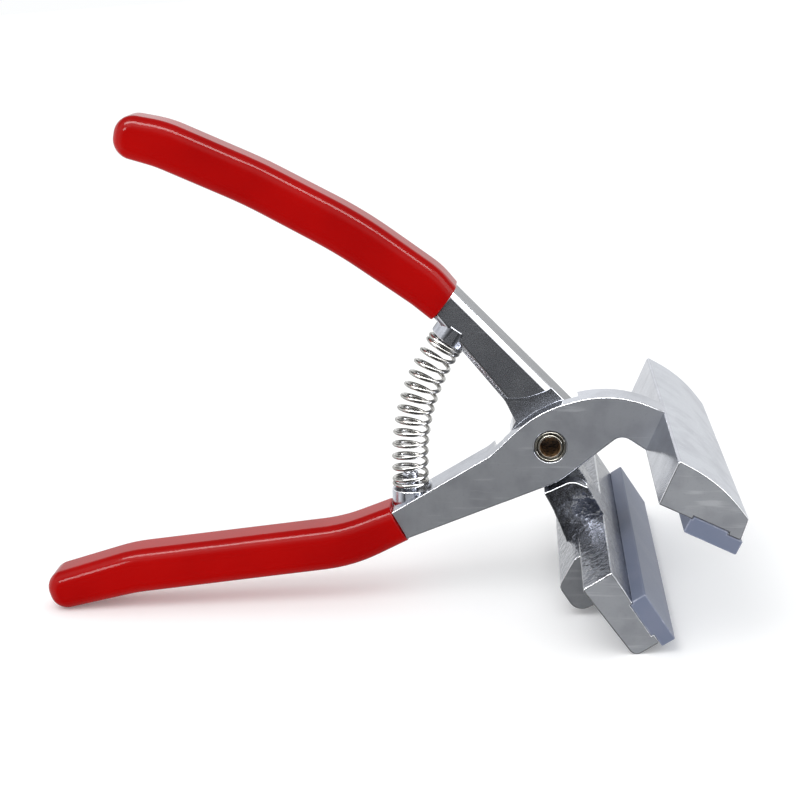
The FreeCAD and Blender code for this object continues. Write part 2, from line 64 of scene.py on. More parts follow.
class Wire:
    """A node's output socket that takes Python's arithmetic."""

    def __init__(self, graph: "Graph", socket: bpy.types.NodeSocket) -> None:
        """Keeps the socket and the graph that it belongs to."""
        self.graph = graph
        self.socket = socket

    def __add__(self, other: "Wire | float") -> "Wire":
        """Adds."""
        return self.graph.maths("ADD", self, other)

    def __sub__(self, other: "Wire | float") -> "Wire":
        """Subtracts."""
        return self.graph.maths("SUBTRACT", self, other)

    def __rsub__(self, other: "Wire | float") -> "Wire":
        """Subtracts from a number."""
        return self.graph.maths("SUBTRACT", other, self)

    def __mul__(self, other: "Wire | float") -> "Wire":
        """Multiplies."""
        return self.graph.maths("MULTIPLY", self, other)

    def __truediv__(self, other: "Wire | float") -> "Wire":
        """Divides."""
        return self.graph.maths("DIVIDE", self, other)

    __radd__ = __add__
    __rmul__ = __mul__

    def ramp(self, low: float, high: float) -> "Wire":
        """Runs smoothly from 0 at one value to 1 at another.

        Args:
            low: the value that gives 0.
            high: the value that gives 1.

        Returns:
            The eased value.
        """
        settings = {"interpolation_type": "SMOOTHSTEP"}
        values = {"Value": self, "From Min": low, "From Max": high}
        return self.graph.node("ShaderNodeMapRange", settings, values)["Result"]


class Outlets:
    """The outputs of a node, found by name."""

    def __init__(self, graph: "Graph", node: bpy.types.Node) -> None:
        """Keeps the node and its graph."""
        self.graph = graph
        self.node = node

    def __getitem__(self, name: str) -> Wire:
        """Gives the enabled output of that name."""
        found = [socket for socket in self.node.outputs if socket.name == name and socket.enabled]
        return Wire(self.graph, found[0])


class Graph:
    """A node tree, of a material, the world or a modifier, that is being built."""

    def __init__(self, tree: bpy.types.NodeTree) -> None:
        """Keeps the tree."""
        self.tree = tree

    def node(
        self,
        kind: str,
        settings: dict[str, Any] | None = None,
        values: dict[str, Any] | None = None,
    ) -> Outlets:
        """Adds a node.

        Args:
            kind: the node's type.
            settings: its properties, set first.
            values: what its input sockets hold or are linked to, by name.

        Returns:
            Its outputs.
        """
        node = self.tree.nodes.new(kind)
        for name, setting in (settings or {}).items():
            setattr(node, name, setting)
        for name, value in (values or {}).items():
            self.plug(value, self._inlet(node, name))
        return Outlets(self, node)

    def _inlet(self, node: bpy.types.Node, name: str | int) -> bpy.types.NodeSocket:
        """Finds an enabled input socket by name, or any by number."""
        if isinstance(name, int):
            return node.inputs[name]
        return [socket for socket in node.inputs if socket.name == name and socket.enabled][0]

    def plug(self, value: Any, socket: bpy.types.NodeSocket) -> None:
        """Links a wire to a socket, or sets the socket's own value."""
        if isinstance(value, Wire):
            self.tree.links.new(value.socket, socket)
        elif socket.type == "RGBA" and len(value) == 3:
            socket.default_value = (*value, 1.0)
        else:
            socket.default_value = value

    def maths(self, operation: str, *values: "Wire | float") -> Wire:
        """Adds one Math node and gives its result."""
        numbered = dict(enumerate(values))
        return self.node("ShaderNodeMath", {"operation": operation}, numbered)["Value"]

    def mix(self, factor: "Wire | float", first: Any, second: Any, blend: str = "MIX") -> Wire:
        """Mixes two colours.

        Args:
            factor: how much of the second.
            first: a colour or a wire.
            second: a colour or a wire.
            blend: how the second is laid on the first.

        Returns:
            The mixed colour.
        """
        settings = {"data_type": "RGBA", "blend_type": blend}
        values = {"Factor": factor, "A": first, "B": second}
        return self.node("ShaderNodeMix", settings, values)["Result"]

    def grey(self, level: Wire) -> Wire:
        """Turns a number into a grey of that level."""
        return self.node("ShaderNodeCombineColor", values={0: level, 1: level, 2: level})["Color"]

    def noise(self, place: Wire, size: float, detail: float = 2.0, stretch: Any = None) -> Wire:
        """Gives a soft random pattern from 0 to 1.

        Args:
            place: the coordinates that it is read at.
            size: the size of its patches, in metres.
            detail: how many finer layers it has.
            stretch: scales of the coordinates, where the patches are long.

        Returns:
            The pattern.
        """
        if stretch is not None:
            place = self.node("ShaderNodeMapping", values={"Vector": place, "Scale": stretch})["Vector"]
        values = {"Vector": place, "Scale": 1.0 / size, "Detail": detail}
        return self.node("ShaderNodeTexNoise", values=values)["Fac"]

    def bump(self, height: Wire, depth: float, normal: Wire | None = None) -> Wire:
        """Turns a height pattern into a normal.

        Args:
            height: the pattern, from 0 to 1.
            depth: how deep a full step is, in metres.
            normal: a coarser bump that this one lies on.

        Returns:
            The normal.
        """
        values = {"Height": height, "Strength": 1.0, "Distance": depth}
        if normal is not None:
            values["Normal"] = normal
        return self.node("ShaderNodeBump", values=values)["Normal"]


def surface(name: str, values: dict[str, Any]) -> tuple[bpy.types.Material, Graph, bpy.types.Node]:
    """Starts a material with one principled shader.

    Args:
        name: the material's name.
        values: plain values of the shader's own sockets.

    Returns:
        The material, its graph and the shader node.
    """
    material = bpy.data.materials.new(name)
    material.use_nodes = True
    material.node_tree.nodes.clear()
    graph = Graph(material.node_tree)
    shader = graph.node("ShaderNodeBsdfPrincipled", values=values)
    graph.node("ShaderNodeOutputMaterial", values={"Surface": shader["BSDF"]})
    return material, graph, shader.node


@dataclass(frozen=True)
class CastFinish:
    """Bright plated casting: a wavy skin, dull ground faces and mottled rough stretches, with rounded edges
    painted pale, part worn polish and part painted highlight.
    """

    name: str = "cast_metal"
    plated: Colour = (0.60, 0.62, 0.68)
    smoked: Colour = (0.36, 0.37, 0.42)
    ground: Colour = (0.60, 0.62, 0.66)
    polish_and_highlight: Colour = (0.86, 0.87, 0.90)
    pitted: Colour = (0.10, 0.10, 0.12)
    plated_roughness: float = 0.17
    ground_roughness: float = 0.40
    wave_size: float = 8 * MM
    wave_depth: float = 0.05 * MM
    mottle_size: float = 2.2 * MM
    mottle_depth: float = 0.55 * MM
    ground_dullness: float = 0.24
    grain_size: float = 0.6 * MM
    grain_depth: float = 0.014 * MM
    cloud_size: float = 9 * MM
    speck_size: float = 0.8 * MM
    pit_size: float = 1.3 * MM
    scratch_size: float = 0.7 * MM
    scratch_stretch: tuple[float, float, float] = (0.05, 0.6, 0.6)

    def material(self) -> bpy.types.Material:
        """Builds the node tree.

        Returns:
            The material.
        """
        material, graph, shader = surface(self.name, {})
        place = graph.node("ShaderNodeTexCoord")["Object"]
        skin = graph.node("ShaderNodeAttribute", {"attribute_name": SKIN})
        parts = graph.node("ShaderNodeSeparateColor", values={"Color": skin["Color"]})
        ground, rough, edge, painted_light = parts["Red"], parts["Green"], parts["Blue"], skin["Alpha"]

        cloud = graph.noise(place, self.cloud_size, 3.0)
        speck = graph.noise(place, self.speck_size, 3.0).ramp(0.56, 0.70)
        pit = graph.noise(place, self.pit_size, 4.0).ramp(0.60, 0.68)
        grain = graph.noise(place, self.grain_size, 4.0)
        scratch = graph.noise(place, self.scratch_size, 2.0, self.scratch_stretch).ramp(0.60, 0.72)

        colour = graph.mix(cloud.ramp(0.35, 0.75) * 0.45, self.plated, self.smoked)
        colour = graph.mix(ground, colour, self.ground)
        colour = graph.mix(cloud.ramp(0.40, 0.75) * ground * 0.45, colour, self.smoked)
        colour = graph.mix(speck * (0.16 + rough * 0.45), colour, self.smoked)
        colour = graph.mix(scratch * 0.30, colour, self.polish_and_highlight)
        colour = graph.mix(pit * rough * 0.75, colour, self.pitted)
        # Painted light: the colour is multiplied by the region's painted light level, darker or brighter in
        # place of what the metal mirrors.
        colour = graph.mix(1.0, colour, graph.grey(painted_light), "MULTIPLY")
        # Rounded edge strips painted pale: partly worn polish, partly a painted highlight for the light the
        # edges catch.
        colour = graph.mix(edge * 0.7, colour, self.polish_and_highlight)
        graph.plug(colour, shader.inputs["Base Color"])

        graph.plug(1.0 - ground * (1.0 - edge) * self.ground_dullness, shader.inputs["Metallic"])
        dulling = ground * (1.0 - edge) * (self.ground_roughness - self.plated_roughness)
        roughness = dulling + self.plated_roughness + (grain - 0.5) * 0.10 + scratch * 0.07
        graph.plug(roughness, shader.inputs["Roughness"])

        flat = 1.0 - ground * 0.85
        wave = graph.noise(place, self.wave_size, 1.0) * flat
        mottle = graph.noise(place, self.mottle_size, 3.0) * rough
        normal = graph.bump(wave, self.wave_depth)
        normal = graph.bump(mottle, self.mottle_depth, normal)
        normal = graph.bump(grain, self.grain_depth, normal)
        graph.plug(normal, shader.inputs["Normal"])
        return material


@dataclass(frozen=True)
class PadFinish:
    """Smooth slate-blue moulded pad, a little rubbed along its edges."""

    name: str = "moulded_pad"
    body: Colour = (0.150, 0.178, 0.262)
    pale: Colour = (0.195, 0.212, 0.288)
    rubbed: Colour = (0.40, 0.42, 0.52)
    roughness: float = 0.42
    grain_size: float = 0.45 * MM
    grain_depth: float = 0.012 * MM
    cloud_size: float = 11 * MM
    rub_size: float = 1.6 * MM

    def material(self) -> bpy.types.Material:
        """Builds the node tree.

        Returns:
            The material.
        """
        material, graph, shader = surface(self.name, {"IOR": 1.5})
        place = graph.node("ShaderNodeTexCoord")["Object"]
        skin = graph.node("ShaderNodeAttribute", {"attribute_name": SKIN})["Color"]
        edge = graph.node("ShaderNodeSeparateColor", values={"Color": skin})["Blue"]
        cloud = graph.noise(place, self.cloud_size, 3.0)
        grain = graph.noise(place, self.grain_size, 3.0)
        rub = graph.noise(place, self.rub_size, 3.0).ramp(0.5, 0.7)
        colour = graph.mix(cloud.ramp(0.3, 0.75) * 0.5, self.body, self.pale)
        colour = graph.mix(edge * (0.25 + rub * 0.5), colour, self.rubbed)
        graph.plug(colour, shader.inputs["Base Color"])
        graph.plug(grain * 0.14 + (self.roughness - 0.07), shader.inputs["Roughness"])
        graph.plug(graph.bump(grain, self.grain_depth), shader.inputs["Normal"])
        return material


@dataclass(frozen=True)
class DipFinish:
    """Thick glossy red dip with a slightly uneven skin."""

    name: str = "red_dip"
    red: Colour = (0.40, 0.0022, 0.0018)
    deep: Colour = (0.33, 0.0016, 0.0016)
    roughness: float = 0.10
    run_size: float = 16 * MM
    run_depth: float = 0.10 * MM
    peel_size: float = 2.2 * MM
    peel_depth: float = 0.006 * MM
    cloud_size: float = 30 * MM
    dust_size: float = 0.6 * MM

    def material(self) -> bpy.types.Material:
        """Builds the node tree.

        Returns:
            The material.
        """
        material, graph, shader = surface(self.name, {"IOR": 1.5, "Specular IOR Level": 0.16})
        place = graph.node("ShaderNodeTexCoord")["Object"]
        cloud = graph.noise(place, self.cloud_size, 2.0)
        peel = graph.noise(place, self.peel_size, 2.0)
        dust = graph.noise(place, self.dust_size, 2.0).ramp(0.70, 0.80)
        colour = graph.mix(cloud.ramp(0.3, 0.7), self.red, self.deep)
        graph.plug(colour, shader.inputs["Base Color"])
        graph.plug(self.roughness + dust * 0.12, shader.inputs["Roughness"])
        normal = graph.bump(graph.noise(place, self.run_size, 1.0), self.run_depth)
        graph.plug(graph.bump(peel, self.peel_depth, normal), shader.inputs["Normal"])
        return material


@dataclass(frozen=True)
class TurnedFinish:
    """Drawn or turned steel: fine rings about the pivot, browned inside the bore."""

    name: str = "turned_steel"
    bright: Colour = (0.46, 0.44, 0.39)
    dull: Colour = (0.26, 0.24, 0.20)
    brown: Colour = (0.24, 0.135, 0.060)
    dark: Colour = (0.045, 0.026, 0.014)
    bore_radius: float = 3.2 * MM
    ring_size: float = 0.12 * MM
    ring_depth: float = 0.003 * MM
    stain_size: float = 2.5 * MM
    grime_size: float = 1.2 * MM
    clean_from: float = 0.02 * MM
    clean_to: float = 0.25 * MM

    def material(self) -> bpy.types.Material:
        """Builds the node tree.

        Returns:
            The material.
        """
        material, graph, shader = surface(self.name, {"Specular IOR Level": 0.12})
        place = graph.node("ShaderNodeTexCoord")["Object"]
        level = graph.node("ShaderNodeVectorMath", {"operation": "MULTIPLY"}, {0: place, 1: (1, 0, 1)})
        radius = graph.node("ShaderNodeVectorMath", {"operation": "LENGTH"}, {0: level["Vector"]})["Value"]
        inside = 1.0 - radius.ramp(self.bore_radius + self.clean_from, self.bore_radius + self.clean_to)
        stain = graph.noise(place, self.stain_size, 4.0)
        grime = graph.noise(place, self.grime_size, 3.0)
        metal = graph.mix(stain.ramp(0.4, 0.7), self.bright, self.dull)
        bore = graph.mix(grime.ramp(0.35, 0.65), self.brown, self.dark)
        graph.plug(graph.mix(inside, metal, bore), shader.inputs["Base Color"])
        graph.plug(1.0 - inside * 0.85, shader.inputs["Metallic"])
        graph.plug(inside * 0.5 + stain * 0.12 + 0.16, shader.inputs["Roughness"])
        rings = graph.maths("SINE", radius * (2 * math.pi / self.ring_size))
        graph.plug(graph.bump(rings, self.ring_depth), shader.inputs["Normal"])
        return material


@dataclass(frozen=True)
class WireFinish:
    """Nickelled spring wire with draw marks and a few dull spots."""

    name: str = "spring_wire"
    bright: Colour = (0.54, 0.53, 0.51)
    dull: Colour = (0.22, 0.21, 0.19)
    roughness: float = 0.13
    stain_size: float = 2.0 * MM
    grain_size: float = 0.25 * MM
    grain_depth: float = 0.004 * MM

    def material(self) -> bpy.types.Material:
        """Builds the node tree.

        Returns:
            The material.
        """
        material, graph, shader = surface(self.name, {"Metallic": 1.0})
        place = graph.node("ShaderNodeTexCoord")["Object"]
        stain = graph.noise(place, self.stain_size, 3.0).ramp(0.45, 0.75)
        grain = graph.noise(place, self.grain_size, 2.0)
        graph.plug(graph.mix(stain * 0.6, self.bright, self.dull), shader.inputs["Base Color"])
        graph.plug(stain * 0.12 + self.roughness, shader.inputs["Roughness"])
        graph.plug(graph.bump(grain, self.grain_depth), shader.inputs["Normal"])
        return material


def merged_copy(node: str) -> bmesh.types.BMesh:
    """Copies a CAD node's mesh, closed up and with its flat faces whole.

    Args:
        node: the node's name.

    Returns:
        The copy.
    """
    shape = bmesh.new()
    shape.from_mesh(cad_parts[node].data)
    bmesh.ops.remove_doubles(shape, verts=shape.verts, dist=WELD)
    flat = math.radians(0.4)
    bmesh.ops.dissolve_limit(shape, angle_limit=flat, verts=shape.verts, edges=shape.edges)
    bmesh.ops.recalc_face_normals(shape, faces=shape.faces)
    return shape


def place_piece(name: str, mesh: bpy.types.Mesh, material: bpy.types.Material) -> bpy.types.Object:
    """Makes an object at the origin from a mesh and gives it a material.

    Args:
        name: the piece's name.
        mesh: its mesh.
        material: its finish.

    Returns:
        The piece.
    """
    mesh.name = name
    mesh.materials.clear()
    mesh.materials.append(material)
    piece = bpy.data.objects.new(name, mesh)
    bpy.context.scene.collection.objects.link(piece)
    return piece


def settled_mesh(piece: bpy.types.Object) -> bpy.types.Mesh:
    """Gives a piece's mesh with its modifiers applied, and takes the modifiers off."""
    graph = bpy.context.evaluated_depsgraph_get()
    mesh = bpy.data.meshes.new_from_object(piece.evaluated_get(graph), depsgraph=graph)
    piece.modifiers.clear()
    return mesh


@dataclass
class SoftEdges:
    """Rounds the sharp edges of a mesh and marks the rounded strips."""

    radius: float
    steps: int = 3
    sharper_than: float = math.radians(28)
    room_share: float = 0.45

    def is_corner(self, edge: bmesh.types.BMEdge) -> bool:
        """Tells whether the surface turns outwards sharply at an edge."""
        return edge.calc_face_angle_signed(0.0) > self.sharper_than

    def is_crease(self, edge: bmesh.types.BMEdge) -> bool:
        """Tells whether the surface turns sharply at an edge, outwards or inwards."""
        return abs(edge.calc_face_angle_signed(0.0)) > self.sharper_than

    def has_room(self, edge: bmesh.types.BMEdge) -> bool:
        """Tells whether the faces beside an edge leave room for the rounding."""
        beside = [near for spot in edge.verts for near in spot.link_edges if not self.is_corner(near)]
        return all(near.calc_length() > self.room_share * self.radius for near in beside)

    def apply(self, name: str, shape: bmesh.types.BMesh) -> bpy.types.Mesh:
        """Rounds the edges.

        Args:
            name: a name for the mesh.
            shape: the mesh, freed here.

        Returns:
            A mesh with rounded edges, where the strips have material number 1.
        """
        layer = shape.edges.layers.float.new("bevel_weight_edge")
        for edge in shape.edges:
            rounded_here = self.is_corner(edge) and self.has_room(edge)
            edge[layer] = float(rounded_here)
            edge.smooth = rounded_here or not self.is_crease(edge)
        mesh = bpy.data.meshes.new(name)
        shape.to_mesh(mesh)
        shape.free()
        mesh.shade_smooth()
        body, strip = bpy.data.materials.new("body"), bpy.data.materials.new("strip")
        mesh.materials.append(body)
        mesh.materials.append(strip)
        draft = bpy.data.objects.new(name, mesh)
        bpy.context.scene.collection.objects.link(draft)
        rounding = draft.modifiers.new("edges", "BEVEL")
        rounding.width = self.radius
        rounding.segments = self.steps
        rounding.limit_method = "WEIGHT"
        rounding.use_clamp_overlap = False
        rounding.material = 1
        flattening = draft.modifiers.new("flats", "WEIGHTED_NORMAL")
        flattening.weight = 100
        flattening.keep_sharp = True
        rounded = settled_mesh(draft)
        bpy.data.objects.remove(draft)
        for material in (body, strip):
            bpy.data.materials.remove(material)
        return rounded


class Region(Enum):
    """What a stretch of a casting's skin is: how ground, how rough, and its painted light level, which
    paints the metal darker or brighter in place of its reflections.
    """

    # The third value is the painted light level: OUTER is painted dark as a painted reflection, ROUGH and
    # FLANK are painted darker, PLATE a little darker, CROWN and JAW_END painted brighter.
    PLATED = (0.0, 0.0, 1.0)
    FLANK = (0.45, 0.0, 0.80)
    PLATE = (1.0, 0.0, 0.92)
    JAW_END = (1.0, 0.0, 1.25)
    CROWN = (0.75, 0.0, 1.10)
    ROUGH = (0.1, 1.0, 0.60)
    OUTER = (0.0, 0.1, 0.32)


@dataclass
class Casting:
    """One cast lever, with softened edges and its skin marked region by region."""

    name: str
    node: str
    body: str
    edge: float = 0.38 * MM
    jaw_half_width: float = 60 * MM
    end_reach: float = 1.0 * MM
    square: float = 0.98

    def region(self, spot: Vector, normal: Vector) -> Region:
        """Tells what the skin is at a spot that faces some way."""
        if abs(normal.y) < self.square:
            return Region.PLATED
        at_jaw_end = abs(spot.y) > self.jaw_half_width - self.end_reach
        # Painted light: the jaw ends are painted brighter and the flat plates a little darker.
        return Region.JAW_END if at_jaw_end else Region.PLATE

    def build(self, finish: bpy.types.Material) -> bpy.types.Object:
        """Makes the piece.

        Args:
            finish: the casting's material.

        Returns:
            The piece, riding on its body.
        """
        mesh = SoftEdges(self.edge).apply(self.name, merged_copy(self.node))
        marks = mesh.color_attributes.new(SKIN, "FLOAT_COLOR", "CORNER")
        for face in mesh.polygons:
            # Each face gets its region's painted light level as the alpha of its skin colour.
            ground, rough, painted_light = self.region(face.center, face.normal).value
            colour = (ground, rough, float(face.material_index == 1), painted_light)
            for corner in face.loop_indices:
                marks.data[corner].color = colour
            face.material_index = 0
        piece = place_piece(self.name, mesh, finish)
        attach(piece, self.body)
        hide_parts(self.node)
        return piece


@dataclass
class FrontCasting(Casting):
    """The lower handle with the upper jaw."""

    name: str = "front_casting"
    node: str = "front_lever"
    body: str = "front_body"
    crown_start: float = 37 * MM
    crown_tilt: float = 0.3

    def region(self, spot: Vector, normal: Vector) -> Region:
        """Tells what the skin is: the crown of the jaw is sanded dull and painted a little brighter."""
        if spot.x > self.crown_start and normal.z > self.crown_tilt:
            return Region.CROWN
        return super().region(spot, normal)


@dataclass
class RearCasting(Casting):
    """The upper handle with the lower jaw and its hammer lug."""

    name: str = "rear_casting"
    node: str = "rear_lever"
    body: str = "rear_body"
    neck_top: float = -8 * MM
    lug_side: float = 28 * MM
    outer_tilt: float = 0.4
    outer_lean: float = 0.2

    def region(self, spot: Vector, normal: Vector) -> Region:
        """Tells what the skin is: the neck and the back of the jaw are rough as cast and painted darker, the
        arm's flanks are painted a little darker and its outer flat is painted dark.
        """
        at_jaw_end = abs(spot.y) > self.jaw_half_width - self.end_reach
        if at_jaw_end and abs(normal.y) > self.square:
            return Region.JAW_END
        if abs(spot.y) > self.lug_side and abs(normal.y) > self.square:
            return Region.PLATE
        if spot.z < self.neck_top:
            return Region.ROUGH
        if abs(normal.y) > self.square:
            return Region.FLANK
        # Painted reflection: the arm's outer flat gets a dark painted light level, standing in for the dark
        # thing it mirrors.
        on_outer_flat = normal.z > self.outer_tilt and abs(normal.y) < self.outer_lean
        return Region.OUTER if on_outer_flat else Region.PLATED


@dataclass
class JawPad:
    """One moulded pad."""

    name: str
    node: str
    body: str
    edge: float = 0.35 * MM

    def build(self, finish: bpy.types.Material) -> bpy.types.Object:
        """Makes the piece.

        Args:
            finish: the pad's material.

        Returns:
            The piece, riding on its body.
        """
        mesh = SoftEdges(self.edge).apply(self.name, merged_copy(self.node))
        marks = mesh.color_attributes.new(SKIN, "FLOAT_COLOR", "CORNER")
        for face in mesh.polygons:
            for corner in face.loop_indices:
                marks.data[corner].color = (0.0, 0.0, float(face.material_index == 1), 1.0)
            face.material_index = 0
        piece = place_piece(self.name, mesh, finish)
        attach(piece, self.body)
        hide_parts(self.node)
        return piece


@dataclass
class Grip:
    """One dipped grip."""

    name: str
    node: str
    body: str
    lip: float = 0.5 * MM
    crease: float = math.radians(40)

    def build(self, finish: bpy.types.Material) -> bpy.types.Object:
        """Makes the piece.

        Args:
            finish: the dip's material.

        Returns:
            The piece, riding on its body.
        """
        edges = SoftEdges(self.lip, sharper_than=self.crease)
        mesh = edges.apply(self.name, merged_copy(self.node))
        for face in mesh.polygons:
            face.material_index = 0
        piece = place_piece(self.name, mesh, finish)
        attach(piece, self.body)
        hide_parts(self.node)
        return piece


def turned(name: str, profile: Iterable[tuple[float, float]], steps: int) -> bpy.types.Mesh:
    """Turns a closed profile about the pivot's axis.

    Args:
        name: the mesh's name.
        profile: radius and depth along Y of each corner, in order round the section.
        steps: facets in a full turn.

    Returns:
        The mesh.
    """
    shape = bmesh.new()
    ring = [shape.verts.new((radius, depth, 0.0)) for radius, depth in profile]
    edges = [shape.edges.new((ring[index - 1], ring[index])) for index in range(len(ring))]
    full = 2 * math.pi
    axis = (0, 1, 0)
    bmesh.ops.spin(shape, geom=ring + edges, cent=(0, 0, 0), axis=axis, angle=full, steps=steps)
    bmesh.ops.remove_doubles(shape, verts=shape.verts, dist=WELD)
    bmesh.ops.recalc_face_normals(shape, faces=shape.faces)
    mesh = bpy.data.meshes.new(name)
    shape.to_mesh(mesh)
    shape.free()
    mesh.shade_smooth()
    mesh.set_sharp_from_angle(angle=TURNED_CREASE)
    return mesh


def round_over(
    middle: tuple[float, float], radius: float, start: float, end: float, steps: int
) -> list[tuple[float, float]]:
    """Gives the corners of an arc of a profile.

    Args:
        middle: the arc's middle, as radius and depth.
        radius: the arc's own radius.
        start: the angle where it starts, in degrees.
        end: the angle where it ends, in degrees.
        steps: how many facets it has.

    Returns:
        Its corners, one more than its facets.
    """
    angles = [math.radians(start + (end - start) * step / steps) for step in range(steps + 1)]
    return [(middle[0] + radius * math.cos(angle), middle[1] + radius * math.sin(angle)) for angle in angles]


@dataclass
class Pivot:
    """The hollow rivet, rolled over a washer at each end."""

    half_length: float = 9.5 * MM
    bore: float = 3.2 * MM
    shank: float = 3.9 * MM
    lip_roll: float = 0.36 * MM
    far_bore: float = 2.5 * MM
    far_roll: float = 1.6 * MM
    washer: float = 4.95 * MM
    washer_hole: float = 4.32 * MM
    washer_thickness: float = 1.4 * MM
    washer_round: float = 0.28 * MM
    shank_room: float = 0.02 * MM
    land: float = 0.5 * MM
    hole_start: float = 0.7 * MM
    steps: int = 96
    arc_steps: int = 10

    def rivet_profile(self) -> list[tuple[float, float]]:
        """Gives the rivet's section, with a round roll at each end, wider at the far one."""
        middle = self.bore + self.lip_roll
        depth = self.half_length - self.lip_roll
        near = round_over((middle, depth), self.lip_roll, 180, -20, self.arc_steps)
        inner = self.far_bore + self.lip_roll
        far = [(self.bore, self.half_length - self.far_roll)]
        far += round_over((inner, depth), self.lip_roll, 180, 90, self.arc_steps)
        far += round_over((middle, depth), self.lip_roll, 90, -20, self.arc_steps)
        return far + [(radius, -depth_here) for radius, depth_here in reversed(near)]

    def washer_profile(self, side: int) -> list[tuple[float, float]]:
        """Gives a washer's section with a crowned outer face, side 1 far and -1 near."""
        inner = self.washer_hole + self.washer_round
        outer = self.washer - self.washer_round
        depth = self.half_length - self.washer_round
        back = self.half_length - self.washer_thickness
        crown = round_over((inner, depth), self.washer_round, 180, 90, self.arc_steps)
        crown += round_over((outer, depth), self.washer_round, 90, 0, self.arc_steps)
        snug = self.shank + self.shank_room
        section = [(snug, back), (snug, back + self.land)]
        section += [(self.washer_hole, back + self.hole_start), *crown, (self.washer, back)]
        return [(radius, side * depth_here) for radius, depth_here in section]

    def build(self, finish: bpy.types.Material) -> list[bpy.types.Object]:
        """Makes the rivet and its two washers.

        Args:
            finish: their material.

        Returns:
            The three pieces, riding on the front body.
        """
        sections = {
            "pivot_rivet": ("rivet", self.rivet_profile()),
            "front_washer": ("washer", self.washer_profile(-1)),
            "rear_washer": ("washer", self.washer_profile(1)),
        }
        pieces = []
        for node, (slot, profile) in sections.items():
            name = f"{node}_turned"
            piece = place_piece(name, turned(name, profile, self.steps), finish)
            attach(piece, "front_body")
            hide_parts(node)
            pieces.append(piece)
        return pieces


